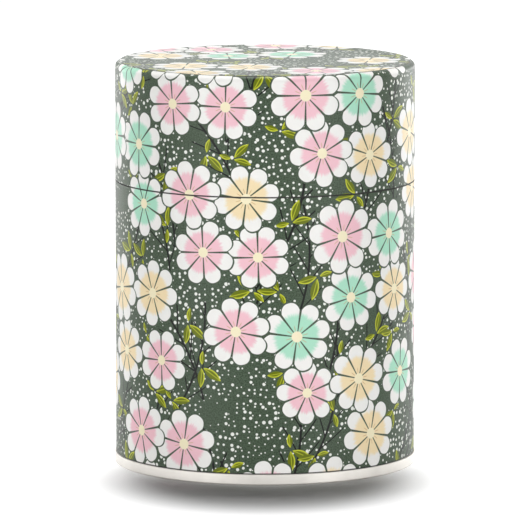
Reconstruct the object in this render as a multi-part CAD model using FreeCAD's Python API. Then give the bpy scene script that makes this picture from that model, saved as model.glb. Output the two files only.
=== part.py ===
import FreeCAD, Part
import math
import os

from FreeCAD import Vector

# Round tinplate tea caddy wrapped in printed paper, with a slip lid over a plug-shaped inner lid.
# Millimetres. The origin is on the table under the caddy's axis, +Z is up, and -Y is the front.
# The tin's side seam and the paper's glued overlap are at the back.

# Overall sizes
body_diameter = 82.0  # over the printed paper
body_height = 78.0  # table to the body's upper edge
lid_height = 32.5  # lid's lower edge to its top
lid_gap = 0.25  # open line between the body and the lid

# Sheet metal and paper
tin = 0.28  # gauge of the tinplate
paper = 0.14  # thickness of the printed paper
paper_overlap = 8.0  # width of the glued overlap at the back
paper_foot_gap = 0.15  # bare line between the paper and the foot band

# Foot band, which is the rolled rim of the bottom
foot_height = 2.9
foot_overhang = 0.3  # how far the band stands proud of the paper
foot_corner = 0.5  # rounding of its lower outer edge
foot_inner_corner = 0.15  # rounding of its lower inner edge
foot_lip = 0.12  # rounding of its upper edge

# Bottom panel, raised clear of the table, with a stiffening step
panel_rise = 2.4
panel_bend = 0.8
panel_step = 0.7
panel_step_diameter = 62.0
panel_step_run = 1.4
panel_step_bend = 0.9

# Side seam inside the body
seam_width = 5.0
seam_thickness = 0.3
seam_margin = 1.0  # bare tin between the seam's ends and the parts above and below it

# Neck that the lid slides over
neck_height = 18.0  # above the body's upper edge
neck_insert = 16.0  # inside the body
neck_swage = 0.8  # length of the taper where the neck narrows
neck_curl = 0.7  # radius of the curled rim
lid_clearance = 0.15  # between the neck and the lid's wall

# Inner lid, a pressed pan that hangs in the neck by its flange
pan_seat = 0.1  # between the neck's curled rim and the flange
pan_clearance = 0.15  # between the curled rim and the pan's wall
pan_depth = 6.0  # flange to panel
pan_bend = 0.8
pan_setback = 0.5  # how far the flange stays inside the neck's outer face
ridge_diameter = 50.0  # stiffening ridge, at the middle of its flat crest
ridge_crest = 2.4
ridge_height = 0.8
ridge_run = 1.4
ridge_bend = 0.9

# Knob and its rivet
knob_height = 9.5
knob_diameter = 13.0
knob_crown = 2.6  # rounding of its top edge
knob_rim = 1.0  # rounding under the head
knob_undercut = 1.6  # slope from the head down to the waist
knob_waist_diameter = 7.0
knob_waist_height = 2.6
knob_waist_bend = 1.0
knob_foot_diameter = 10.0
knob_foot_height = 1.2
knob_foot_corner = 0.4
rivet_diameter = 2.5
rivet_grip = 5.0  # how far the rivet reaches into the knob
rivet_head_diameter = 6.4
rivet_head_height = 0.9
rivet_head_corner = 0.6

# Lid's upper edge and top
lid_edge_radius = 1.6  # outside, over the paper
plate_land = 0.4  # upright band of the top plate above the wall's edge
plate_skirt = 4.0  # how far the top plate reaches down inside the wall
plate_bend = 0.9
paper_turn = 2.5  # side paper turned over onto the top plate
top_paper_reach = 0.3  # how far the paper disc reaches onto the rounded edge
top_paper_drape = 1.2  # slope where the disc comes down off the turned paper

# Radii that the pieces share
paper_radius = body_diameter / 2
tin_radius = paper_radius - paper
bore_radius = tin_radius - tin
band_radius = paper_radius + foot_overhang
chuck_radius = bore_radius - tin
neck_radius = bore_radius - lid_clearance
neck_bore = neck_radius - tin
curl_bore = neck_radius - 2 * neck_curl
pan_radius = curl_bore - pan_clearance
pan_bore = pan_radius - tin
flange_radius = neck_radius - pan_setback
rivet_radius = rivet_diameter / 2

# Heights that the pieces share
panel_top = panel_rise + tin
neck_bottom = body_height - neck_insert
neck_top = body_height + neck_height
flange_bottom = neck_top + pan_seat
flange_top = flange_bottom + tin
pan_bottom = flange_bottom - pan_depth
pan_floor = pan_bottom + tin
knob_top = pan_floor + knob_height
rivet_top = pan_floor + rivet_grip
lid_bottom = body_height + lid_gap
lid_top = lid_bottom + lid_height
turned_paper_top = lid_top - paper
plate_top = turned_paper_top - paper
plate_edge_radius = lid_edge_radius - paper
plate_seat = plate_top - plate_edge_radius - plate_land
turned_paper_bore = paper_radius - lid_edge_radius - paper_turn

AXIS_POINT = Vector(0, 0, 0)
AXIS = Vector(0, 0, 1)
BACK_ANGLE = 90
SHORTEST_EDGE = 1e-6


def outline(corners):
    """Closed outline in the XZ plane. A corner is (x, z), or (x, z, rounding)."""
    count = len(corners)
    points = [Vector(corner[0], 0, corner[1]) for corner in corners]
    roundings = [corner[2] if len(corner) > 2 else 0 for corner in corners]
    arms = []
    half_angles = []
    setbacks = []
    for index, point in enumerate(points):
        back = (points[index - 1] - point).normalize()
        ahead = (points[(index + 1) % count] - point).normalize()
        half_angle = back.getAngle(ahead) / 2
        arms.append((back, ahead))
        half_angles.append(half_angle)
        setbacks.append(roundings[index] / math.tan(half_angle))

    # A rounding never takes more than the straight run beside it has.
    shares = [1] * count
    for index in range(count):
        following = (index + 1) % count
        run = points[index].distanceToPoint(points[following])
        share = run / max(run, setbacks[index] + setbacks[following])
        shares[index] = min(shares[index], share)
        shares[following] = min(shares[following], share)

    arcs = []
    for index, point in enumerate(points):
        back, ahead = arms[index]
        setback = setbacks[index] * shares[index]
        radius = setback * math.tan(half_angles[index])
        inward = (back + ahead).normalize()
        middle = point + inward * (radius / math.sin(half_angles[index]) - radius)
        arcs.append((point + back * setback, middle, point + ahead * setback))

    edges = []
    for index, (start, middle, end) in enumerate(arcs):
        previous_end = arcs[index - 1][2]
        if previous_end.distanceToPoint(start) > SHORTEST_EDGE:
            edges.append(Part.LineSegment(previous_end, start).toShape())
        if start.distanceToPoint(end) > SHORTEST_EDGE:
            edges.append(Part.Arc(start, middle, end).toShape())
    return Part.Wire(edges)


def turned(corners):
    """Solid turned about the caddy's axis from an outline of radii and heights."""
    return Part.Face(outline(corners)).revolve(AXIS_POINT, AXIS, 360)


def ring(inner, outer, low, high):
    """Plain upright ring."""
    return turned([(inner, low), (outer, low), (outer, high), (inner, high)])


def back_strip(inner, outer, low, high, width):
    """Upright strip at the back, bent to the wall's curve."""
    corners = [(inner, low), (outer, low), (outer, high), (inner, high)]
    sweep = math.degrees(width / outer)
    strip = Part.Face(outline(corners)).revolve(AXIS_POINT, AXIS, sweep)
    strip.rotate(AXIS_POINT, AXIS, BACK_ANGLE - sweep / 2)
    return strip


def joined(first, second):
    """The one solid that two touching solids make."""
    return first.fuse(second).removeSplitter().Solids[0]


def make_base_end():
    """Pressed bottom: a stepped panel, and a rim folded round the wall's lower edge as the foot."""
    step_inner = panel_step_diameter / 2
    step_outer = step_inner + panel_step_run
    return turned([
        (0, panel_rise + panel_step),
        (step_inner, panel_rise + panel_step, panel_step_bend),
        (step_outer, panel_rise, panel_step_bend + tin),
        (chuck_radius, panel_rise, panel_bend),
        (chuck_radius, 0, foot_inner_corner),
        (band_radius, 0, foot_corner),
        (band_radius, foot_height, foot_lip),
        (tin_radius, foot_height),
        (tin_radius, tin),
        (bore_radius, tin),
        (bore_radius, panel_top, panel_bend + tin),
        (step_outer, panel_top, panel_step_bend),
        (step_inner, panel_top + panel_step, panel_step_bend + tin),
        (0, panel_top + panel_step),
    ])


def make_body_shell():
    """Rolled wall that stands in the folded rim, with its side seam on the inside."""
    wall = ring(bore_radius, tin_radius, tin, body_height)
    seam_low = panel_top + seam_margin
    seam_high = neck_bottom - seam_margin
    seam = back_strip(bore_radius - seam_thickness, bore_radius, seam_low, seam_high, seam_width)
    return joined(wall, seam)


def make_neck_sleeve():
    """Sleeve fast in the body's mouth, narrowed above it for the lid, with its rim curled inwards."""
    swage_low = body_height - neck_swage
    return turned([
        (chuck_radius, neck_bottom),
        (bore_radius, neck_bottom),
        (bore_radius, swage_low),
        (neck_radius, body_height),
        (neck_radius, neck_top, neck_curl),
        (curl_bore, neck_top, neck_curl),
        (curl_bore, neck_top - 2 * neck_curl, neck_curl),
        (neck_bore, neck_top - 2 * neck_curl),
        (neck_bore, body_height),
        (chuck_radius, swage_low),
    ])


def make_body_paper():
    """Printed paper round the body, with one end glued over the other."""
    low = foot_height + paper_foot_gap
    wrap = ring(tin_radius, paper_radius, low, body_height)
    overlap = back_strip(paper_radius, paper_radius + paper, low, body_height, paper_overlap)
    return joined(wrap, overlap)


def make_inner_lid_pan():
    """Pressed pan with a flange that rests on the neck's rim, a stiffening ridge and a rivet hole."""
    crest_inner = (ridge_diameter - ridge_crest) / 2
    crest_outer = (ridge_diameter + ridge_crest) / 2
    ridge_inner = crest_inner - ridge_run
    ridge_outer = crest_outer + ridge_run
    return turned([
        (rivet_radius, pan_bottom),
        (ridge_inner, pan_bottom, ridge_bend + tin),
        (crest_inner, pan_bottom + ridge_height, ridge_bend),
        (crest_outer, pan_bottom + ridge_height, ridge_bend),
        (ridge_outer, pan_bottom, ridge_bend + tin),
        (pan_radius, pan_bottom, pan_bend + tin),
        (pan_radius, flange_bottom),
        (flange_radius, flange_bottom, tin / 2),
        (flange_radius, flange_top, tin / 2),
        (pan_bore, flange_top, tin),
        (pan_bore, pan_floor, pan_bend),
        (ridge_outer, pan_floor, ridge_bend),
        (crest_outer, pan_floor + ridge_height, ridge_bend + tin),
        (crest_inner, pan_floor + ridge_height, ridge_bend + tin),
        (ridge_inner, pan_floor, ridge_bend),
        (rivet_radius, pan_floor),
    ])


def make_inner_lid_knob():
    """Turned knob with a blind hole for the rivet."""
    foot_radius = knob_foot_diameter / 2
    waist_radius = knob_waist_diameter / 2
    head_radius = knob_diameter / 2
    foot_top = pan_floor + knob_foot_height
    waist_top = foot_top + knob_waist_height
    return turned([
        (rivet_radius, pan_floor),
        (foot_radius, pan_floor),
        (foot_radius, foot_top, knob_foot_corner),
        (waist_radius, foot_top, knob_waist_bend),
        (waist_radius, waist_top, knob_waist_bend),
        (head_radius, waist_top + knob_undercut, knob_rim),
        (head_radius, knob_top, knob_crown),
        (0, knob_top),
        (0, rivet_top),
        (rivet_radius, rivet_top),
    ])


def make_knob_rivet():
    """Rivet through the pan into the knob, with its head under the pan."""
    head_radius = rivet_head_diameter / 2
    return turned([
        (0, pan_bottom - rivet_head_height),
        (head_radius, pan_bottom - rivet_head_height, rivet_head_corner),
        (head_radius, pan_bottom),
        (rivet_radius, pan_bottom),
        (rivet_radius, rivet_top),
        (0, rivet_top),
    ])


def make_lid_wall():
    """Rolled wall of the lid."""
    return ring(bore_radius, tin_radius, lid_bottom, plate_seat)


def make_lid_top_plate():
    """Pressed plate with a rounded edge that seats on the lid's wall, and a skirt inside the wall."""
    return turned([
        (0, plate_top),
        (tin_radius, plate_top, plate_edge_radius),
        (tin_radius, plate_seat),
        (bore_radius, plate_seat),
        (bore_radius, plate_seat - plate_skirt),
        (chuck_radius, plate_seat - plate_skirt),
        (chuck_radius, plate_top - tin, plate_bend),
        (0, plate_top - tin),
    ])


def make_lid_side_paper():
    """Printed paper round the lid, turned over its rounded edge, with a glued overlap at the back."""
    wrap = turned([
        (tin_radius, lid_bottom),
        (paper_radius, lid_bottom),
        (paper_radius, turned_paper_top, lid_edge_radius),
        (turned_paper_bore, turned_paper_top),
        (turned_paper_bore, plate_top),
        (tin_radius, plate_top, plate_edge_radius),
    ])
    overlap_top = turned_paper_top - lid_edge_radius
    overlap = back_strip(paper_radius, paper_radius + paper, lid_bottom, overlap_top, paper_overlap)
    return joined(wrap, overlap)


def make_lid_top_paper():
    """Paper disc on the lid's top, draped over the turned edge of the side paper."""
    disc_radius = paper_radius - lid_edge_radius + top_paper_reach
    drape_foot = turned_paper_bore - top_paper_drape
    return turned([
        (0, plate_top),
        (drape_foot, plate_top),
        (turned_paper_bore, turned_paper_top),
        (disc_radius, turned_paper_top),
        (disc_radius, lid_top),
        (turned_paper_bore, lid_top),
        (drape_foot, turned_paper_top),
        (0, turned_paper_top),
    ])


NODES = {
    "base_end": make_base_end,
    "body_shell": make_body_shell,
    "neck_sleeve": make_neck_sleeve,
    "body_paper": make_body_paper,
    "inner_lid_pan": make_inner_lid_pan,
    "inner_lid_knob": make_inner_lid_knob,
    "knob_rivet": make_knob_rivet,
    "lid_wall": make_lid_wall,
    "lid_top_plate": make_lid_top_plate,
    "lid_side_paper": make_lid_side_paper,
    "lid_top_paper": make_lid_top_paper,
}

os.makedirs("parts", exist_ok=True)
for node, make in NODES.items():
    solid = make()
    solid.exportStep(f"parts/{node}.step")
    box = solid.optimalBoundingBox(False, False)
    print(f"{node}: {solid.ShapeType}, valid {solid.isValid()}, {solid.Volume:.1f} mm3, "
          f"z {box.ZMin:.2f} to {box.ZMax:.2f}, radius {box.XMax:.2f}")
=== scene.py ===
"""Looks of a round tea caddy: its pressed tin, its printed paper, the studio light and the camera."""
import logging
import math
from dataclasses import dataclass, field
from enum import Enum
from typing import Callable, Sequence, Union

import bmesh
import bpy
import numpy as np
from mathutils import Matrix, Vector


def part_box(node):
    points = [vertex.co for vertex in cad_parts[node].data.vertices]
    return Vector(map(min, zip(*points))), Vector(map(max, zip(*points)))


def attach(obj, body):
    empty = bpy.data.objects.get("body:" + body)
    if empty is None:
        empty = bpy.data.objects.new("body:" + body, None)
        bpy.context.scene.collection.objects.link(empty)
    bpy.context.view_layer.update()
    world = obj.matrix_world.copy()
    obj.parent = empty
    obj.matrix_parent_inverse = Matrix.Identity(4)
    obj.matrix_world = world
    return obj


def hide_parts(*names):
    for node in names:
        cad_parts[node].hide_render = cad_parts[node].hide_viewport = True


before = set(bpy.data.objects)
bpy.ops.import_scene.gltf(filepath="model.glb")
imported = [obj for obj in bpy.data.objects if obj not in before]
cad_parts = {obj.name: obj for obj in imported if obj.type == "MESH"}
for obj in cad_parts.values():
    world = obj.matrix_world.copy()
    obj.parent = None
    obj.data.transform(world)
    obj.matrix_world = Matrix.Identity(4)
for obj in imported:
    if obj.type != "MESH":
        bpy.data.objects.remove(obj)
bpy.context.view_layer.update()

LOG = logging.getLogger("tea_caddy")
MM = 0.001
TURN = 2 * math.pi
MIDDLE = (0.0, 0.0, 0.055)
SHEET_MAP = "sheet"
BAKE_MAP = "OFBake"
RUN = "run"
LOOSE = "loose"

Corner = tuple[float, ...]
Point = tuple[float, float]
Colour = tuple[float, float, float, float]
Number = Union[float, "Wire"]


class Body(Enum):
    """Rigid bodies of the frame."""

    CANISTER = "canister"
    INNER_COVER = "inner_cover"
    OUTER_LID = "outer_lid"


class Slot(Enum):
    """Material slots of the record."""

    TINPLATE = "tinplate"
    KNOB_METAL = "knob_metal"
    PRINTED_PAPER = "printed_paper"


class Face(Enum):
    """Material index of a paper's faces."""

    PRINTED = 0
    BARE = 1


def ink(red: int, green: int, blue: int) -> Colour:
    """Turns a colour of 0 to 255 as a screen shows it into Blender's linear colour.

    Args:
        red: screen red.
        green: screen green.
        blue: screen blue.

    Returns:
        Linear red, green, blue and a full alpha.
    """
    def linear(level: int) -> float:
        """One channel, by the screen's own curve."""
        share = level / 255
        return share / 12.92 if share <= 0.04045 else ((share + 0.055) / 1.055) ** 2.4

    return linear(red), linear(green), linear(blue), 1.0


def operation(name: str, swapped: bool = False) -> Callable[..., "Wire"]:
    """Makes a method of Wire that adds one Math node.

    Args:
        name: the node's operation.
        swapped: whether the wire is the last of the node's inputs and not the first.

    Returns:
        The method.
    """
    def method(wire: "Wire", *others: Number) -> "Wire":
        """Adds the node and gives its result."""
        return wire.graph.math(name, *((*others, wire) if swapped else (wire, *others)))

    return method


@dataclass(frozen=True)
class Wire:
    """A value in a node tree. Arithmetic on it adds the nodes that work it out."""

    graph: "Graph"
    socket: bpy.types.NodeSocket

    __add__ = operation("ADD")
    __radd__ = operation("ADD", swapped=True)
    __sub__ = operation("SUBTRACT")
    __rsub__ = operation("SUBTRACT", swapped=True)
    __mul__ = operation("MULTIPLY")
    __truediv__ = operation("DIVIDE")
    __pow__ = operation("POWER")
    __abs__ = operation("ABSOLUTE")
    __round__ = operation("ROUND")
    sine = operation("SINE")
    cosine = operation("COSINE")
    root = operation("SQRT")
    fraction = operation("FRACT")
    remainder = operation("FLOORED_MODULO")
    most = operation("MAXIMUM")

    def rise(self, low: Number, high: Number) -> "Wire":
        """Steps smoothly from 0 to 1.

        Args:
            low: value at which the step starts.
            high: value at which it ends.

        Returns:
            The step.
        """
        made = self.graph.node("ShaderNodeMapRange", interpolation_type="SMOOTHSTEP")
        self.graph.fill(made, {"Value": self, "From Min": low, "From Max": high})
        return Wire(self.graph, made.outputs["Result"])

    def fall(self, low: Number, high: Number) -> "Wire":
        """Smooth step from 1 at low to 0 at high."""
        return 1.0 - self.rise(low, high)


class Graph:
    """Adds nodes to one tree and links them by value."""

    def __init__(self, tree: bpy.types.NodeTree) -> None:
        """Keeps the tree that the nodes go into."""
        self.tree = tree

    def node(self, kind: str, **settings: object) -> bpy.types.Node:
        """Adds a node.

        Args:
            kind: Blender's name for the type of node.
            settings: properties to set on it.

        Returns:
            The new node.
        """
        made = self.tree.nodes.new(kind)
        for name, value in settings.items():
            setattr(made, name, value)
        return made

    def feed(self, socket: bpy.types.NodeSocket, value: object) -> None:
        """Links a wire or a socket to an input, or sets the input's own value.

        Args:
            socket: the input.
            value: what it is to take.
        """
        source = value.socket if isinstance(value, Wire) else value
        if isinstance(source, bpy.types.NodeSocket):
            self.tree.links.new(source, socket)
        else:
            socket.default_value = source

    def fill(self, made: bpy.types.Node, values: dict[str, object]) -> None:
        """Feeds a node's inputs by name."""
        for name, value in values.items():
            self.feed(made.inputs[name], value)

    def math(self, kind: str, *values: Number) -> Wire:
        """Adds a Math node.

        Args:
            kind: the node's operation.
            values: its inputs, in order.

        Returns:
            Its result.
        """
        made = self.node("ShaderNodeMath", operation=kind)
        for socket, value in zip(made.inputs, values):
            self.feed(socket, value)
        return Wire(self, made.outputs[0])

    def angle(self, rise: Number, run: Number) -> Wire:
        """Angle of a direction, in radians from -pi to pi."""
        return self.math("ARCTAN2", rise, run)

    def join(self, x: Number, y: Number, z: Number = 0.0) -> Wire:
        """Joins three values into a vector.

        Args:
            x: first value.
            y: second value.
            z: third value.

        Returns:
            The vector.
        """
        made = self.node("ShaderNodeCombineXYZ")
        for socket, value in zip(made.inputs, (x, y, z)):
            self.feed(socket, value)
        return Wire(self, made.outputs[0])

    def split(self, vector: Union[Wire, bpy.types.NodeSocket]) -> tuple[Wire, Wire, Wire]:
        """Takes a vector or colour apart.

        Args:
            vector: the vector or colour.

        Returns:
            Its three values.
        """
        made = self.node("ShaderNodeSeparateXYZ")
        self.feed(made.inputs[0], vector)
        return tuple(Wire(self, socket) for socket in made.outputs)

    def chance(self, x: Number, y: Number, seed: Number) -> tuple[Wire, Wire, Wire]:
        """Three random values from 0 to 1 that belong to a whole-numbered place.

        Args:
            x: column of the place.
            y: row of the place.
            seed: number of the draw.

        Returns:
            The three values.
        """
        place = self.join(x, y, seed)
        made = self.node("ShaderNodeTexWhiteNoise", noise_dimensions="3D")
        self.feed(made.inputs["Vector"], place)
        return self.split(made.outputs["Color"])

    def noise(self, place: Wire, scale: float, detail: float = 2.0) -> Wire:
        """Soft noise from 0 to 1.

        Args:
            place: vector that it is read at.
            scale: features for each unit of that vector.
            detail: octaves of finer noise on top.

        Returns:
            The noise.
        """
        made = self.node("ShaderNodeTexNoise", noise_dimensions="3D")
        self.fill(made, {"Vector": place, "Scale": scale, "Detail": detail})
        return Wire(self, made.outputs[0])

    def mix(self, factor: Number, under: object, over: object) -> Wire:
        """Lays one colour over another.

        Args:
            factor: how much of the upper colour shows.
            under: lower colour.
            over: upper colour.

        Returns:
            The mixed colour.
        """
        made = self.node("ShaderNodeMix", data_type="RGBA")
        factor_socket, under_socket, over_socket = made.inputs[0], made.inputs[6], made.inputs[7]
        self.feed(factor_socket, factor)
        self.feed(under_socket, under)
        self.feed(over_socket, over)
        return Wire(self, made.outputs[2])

    def place(self, group: bpy.types.NodeTree, **values: object) -> dict[str, Wire]:
        """Places a shader node group.

        Args:
            group: the group's tree.
            values: its inputs by name.

        Returns:
            Its outputs by name.
        """
        made = self.node("ShaderNodeGroup", node_tree=group)
        self.fill(made, values)
        return {socket.name: Wire(self, socket) for socket in made.outputs}

    def bump(self, height: Wire, distance: float, strength: float) -> bpy.types.NodeSocket:
        """Raises a surface.

        Args:
            height: mask from 0 to 1.
            distance: how far a full mask raises it.
            strength: share of the effect that shows.

        Returns:
            The normal of the raised surface.
        """
        made = self.node("ShaderNodeBump")
        self.fill(made, {"Distance": distance, "Strength": strength, "Height": height})
        return made.outputs["Normal"]


class NodeGroup(Graph):
    """A node group with named inputs and outputs, under construction."""

    def __init__(self, name: str, kind: str, inputs: Sequence[tuple[str, str]]) -> None:
        """Starts the group.

        Args:
            name: what the group makes.
            kind: Blender's name for the type of tree.
            inputs: name and socket type of each input.
        """
        super().__init__(bpy.data.node_groups.new(name, kind))
        for label, socket_type in inputs:
            self.tree.interface.new_socket(name=label, in_out="INPUT", socket_type=socket_type)
        self.source = self.node("NodeGroupInput")
        self.result = self.node("NodeGroupOutput")

    def value(self, name: str) -> Wire:
        """One of the group's inputs."""
        return Wire(self, self.source.outputs[name])

    def give(self, name: str, value: object, kind: str = "NodeSocketFloat") -> None:
        """Adds an output to the group."""
        self.tree.interface.new_socket(name=name, in_out="OUTPUT", socket_type=kind)
        self.feed(self.result.inputs[name], value)


class ShaderGroup(NodeGroup):
    """A shader node group whose inputs are all plain values."""

    def __init__(self, name: str, inputs: Sequence[str]) -> None:
        """Starts the group from the names of its inputs."""
        super().__init__(name, "ShaderNodeTree", [(label, "NodeSocketFloat") for label in inputs])


class TreeInput(Enum):
    """Inputs of the geometry trees that are set on a modifier."""

    SEGMENTS = ("Segments", "NodeSocketInt")
    ROWS = ("Rows", "NodeSocketInt")
    RADIUS = ("Radius", "NodeSocketFloat")
    LAP = ("Lap", "NodeSocketFloat")
    RAMP = ("Ramp", "NodeSocketFloat")
    LIFT = ("Lift", "NodeSocketFloat")
    FINISH = ("Finish", "NodeSocketMaterial")


class GeometryTree(NodeGroup):
    """A geometry tree that bends a grid of outline rows and turned columns round the caddy's axis."""

    WELD = 1e-6

    def __init__(self, name: str, inputs: Sequence[TreeInput]) -> None:
        """Starts the tree from the inputs that it takes beside its outline."""
        sockets = [("Outline", "NodeSocketGeometry"), *(option.value for option in inputs)]
        super().__init__(name, "GeometryNodeTree", sockets)

    def setting(self, option: TreeInput) -> Wire:
        """One of the inputs that are set on a modifier."""
        return self.value(option.value[0])

    def grid(self, sweep: Number) -> tuple[bpy.types.Node, Wire, Wire]:
        """Adds the flat grid that is to be bent.

        Args:
            sweep: angle that its columns cover.

        Returns:
            The grid's node, each point's angle and the number of its outline row.
        """
        made = self.node("GeometryNodeMeshGrid")
        rows = self.setting(TreeInput.ROWS)
        self.fill(made, {
            "Size X": sweep,
            "Size Y": 1.0,
            "Vertices X": self.setting(TreeInput.SEGMENTS) + 1,
            "Vertices Y": rows,
        })
        angle, height, _ = self.split(self.node("GeometryNodeInputPosition").outputs[0])
        return made, angle, round((height + 0.5) * (rows - 1))

    def read(self, kind: str, value: bpy.types.NodeSocket, row: Wire) -> bpy.types.NodeSocket:
        """Reads a value of the outline at a row.

        Args:
            kind: data type of the value.
            value: field to read.
            row: number of the row.

        Returns:
            The value there.
        """
        made = self.node("GeometryNodeSampleIndex", data_type=kind)
        self.fill(made, {"Geometry": self.source.outputs["Outline"], "Value": value, "Index": row})
        return made.outputs["Value"]

    def read_named(self, kind: str, name: str, row: Wire) -> bpy.types.NodeSocket:
        """Reads a named attribute of the outline at a row.

        Args:
            kind: data type of the attribute.
            name: its name.
            row: number of the row.

        Returns:
            The value there.
        """
        made = self.node("GeometryNodeInputNamedAttribute", data_type=kind)
        made.inputs["Name"].default_value = name
        return self.read(kind, made.outputs["Attribute"], row)

    def read_place(self, row: Wire) -> tuple[Wire, Wire]:
        """Reads the outline's place at a row.

        Args:
            row: number of the row.

        Returns:
            Radius and height there.
        """
        position = self.node("GeometryNodeInputPosition").outputs[0]
        radius, _, height = self.split(self.read("FLOAT_VECTOR", position, row))
        return radius, height

    def bend(self, mesh: bpy.types.NodeSocket, radius: Wire, angle: Wire, height: Wire) -> None:
        """Puts the grid's points in place, welds them and ends the tree.

        Args:
            mesh: the flat grid.
            radius: distance of each point from the axis.
            angle: angle of each point, from the front towards +X.
            height: height of each point.
        """
        place = self.join(radius * angle.sine(), radius * angle.cosine() * -1.0, height)
        steps = (
            ("GeometryNodeSetPosition", {"Position": place}),
            ("GeometryNodeMergeByDistance", {"Distance": self.WELD}),
            ("GeometryNodeRealizeInstances", {}),
            ("GeometryNodeSetMaterial", {"Material": self.setting(TreeInput.FINISH)}),
        )
        for kind, values in steps:
            made = self.node(kind)
            self.fill(made, {"Geometry": mesh, **values})
            mesh = made.outputs["Geometry"]
        self.give("Piece", mesh, "NodeSocketGeometry")


def turned_form_tree() -> bpy.types.NodeTree:
    """Builds the tree that turns a whole outline about the axis.

    Returns:
        The tree.
    """
    tree = GeometryTree("turned_form", (TreeInput.SEGMENTS, TreeInput.ROWS, TreeInput.FINISH))
    grid, angle, row = tree.grid(TURN)
    radius, height = tree.read_place(row)
    tree.bend(grid.outputs["Mesh"], radius, angle, height)
    return tree.tree


def wrapped_sheet_tree() -> bpy.types.NodeTree:
    """Builds the tree that wraps a sheet once round the axis, with its end lapped over its start.

    Returns:
        The tree.
    """
    tree = GeometryTree("wrapped_sheet", tuple(TreeInput))
    lap = tree.setting(TreeInput.LAP)
    grid, angle, row = tree.grid(lap + TURN)
    kept = tree.node("GeometryNodeStoreNamedAttribute", data_type="FLOAT2", domain="CORNER")
    run = Wire(tree, tree.read_named("FLOAT", RUN, row))
    flat = tree.join(angle * tree.setting(TreeInput.RADIUS) / MM, run / MM)
    tree.fill(kept, {"Geometry": grid.outputs["Mesh"], "Name": SHEET_MAP, "Value": flat})
    lap_start = math.pi - lap / 2
    lift = angle.rise(lap_start - tree.setting(TreeInput.RAMP), lap_start) * tree.setting(TreeInput.LIFT)
    radius, height = tree.read_place(row)
    out, _, up = tree.split(tree.read_named("FLOAT_VECTOR", LOOSE, row))
    tree.bend(kept.outputs["Geometry"], radius + lift * out, angle, height + lift * up)
    return tree.tree


@dataclass(frozen=True)
class Outline:
    """Outline of a turned piece.

    Its corners are (radius, height) or (radius, height, rounding), in metres. A closed outline goes round a
    ring. An open one starts and ends on the axis, or is one face of a sheet.
    """

    corners: tuple[Corner, ...]
    closed: bool = True
    arc_step: float = math.radians(9)

    def points(self) -> list[Point]:
        """Works out the outline's points, with its roundings as short chords.

        Returns:
            Points of radius and height. A closed outline ends where it starts.
        """
        count = len(self.corners)
        places = [Vector(corner[:2]) for corner in self.corners]
        found: list[Point] = []
        for index, corner in enumerate(self.corners):
            at_end = not self.closed and index in (0, count - 1)
            rounding = corner[2] if len(corner) > 2 and not at_end else 0.0
            place = places[index]
            if rounding == 0.0:
                found.append(tuple(place))
                continue
            back = (places[index - 1] - place).normalized()
            ahead = (places[(index + 1) % count] - place).normalized()
            found.extend(self.arc(place, back, ahead, rounding))
        if self.closed:
            found.append(found[0])
        return found

    def arc(self, place: Vector, back: Vector, ahead: Vector, rounding: float) -> list[Point]:
        """Rounds one corner.

        Args:
            place: the corner.
            back: direction to the corner before.
            ahead: direction to the corner after.
            rounding: radius of the arc.

        Returns:
            Points along the arc.
        """
        half = back.angle(ahead) / 2
        centre = place + (back + ahead).normalized() * (rounding / math.sin(half))
        start = place + back * (rounding / math.tan(half)) - centre
        end = place + ahead * (rounding / math.tan(half)) - centre
        turn = start.angle_signed(end)
        steps = max(2, math.ceil(abs(turn) / self.arc_step))
        first = math.atan2(start.y, start.x)
        angles = [first - turn * step / steps for step in range(steps + 1)]
        return [
            (centre.x + rounding * math.cos(angle), centre.y + rounding * math.sin(angle))
            for angle in angles
        ]


def add_object(name: str, data: bpy.types.ID) -> bpy.types.Object:
    """Makes an object and links it to the scene.

    Args:
        name: name of the object.
        data: its mesh, lamp or camera.

    Returns:
        The object.
    """
    made = bpy.data.objects.new(name, data)
    bpy.context.scene.collection.objects.link(made)
    return made


def read_numbers(items: bpy.types.bpy_prop_collection, name: str, kind: type, width: int = 1) -> np.ndarray:
    """Reads one value of every item in a mesh's list.

    Args:
        items: the list.
        name: name of the value.
        kind: type of the numbers.
        width: numbers in each value.

    Returns:
        The numbers, with a row for each item where a value has more than one.
    """
    found = np.zeros(len(items) * width, dtype=kind)
    items.foreach_get(name, found)
    return found.reshape(-1, width) if width > 1 else found


def add_map(mesh: bpy.types.Mesh, name: str, places: np.ndarray) -> None:
    """Adds a map that gives each face corner's place on a flat sheet."""
    layer = mesh.uv_layers.new(name=name, do_init=False)
    layer.uv.foreach_set("vector", places.astype(np.float32).ravel())


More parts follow.
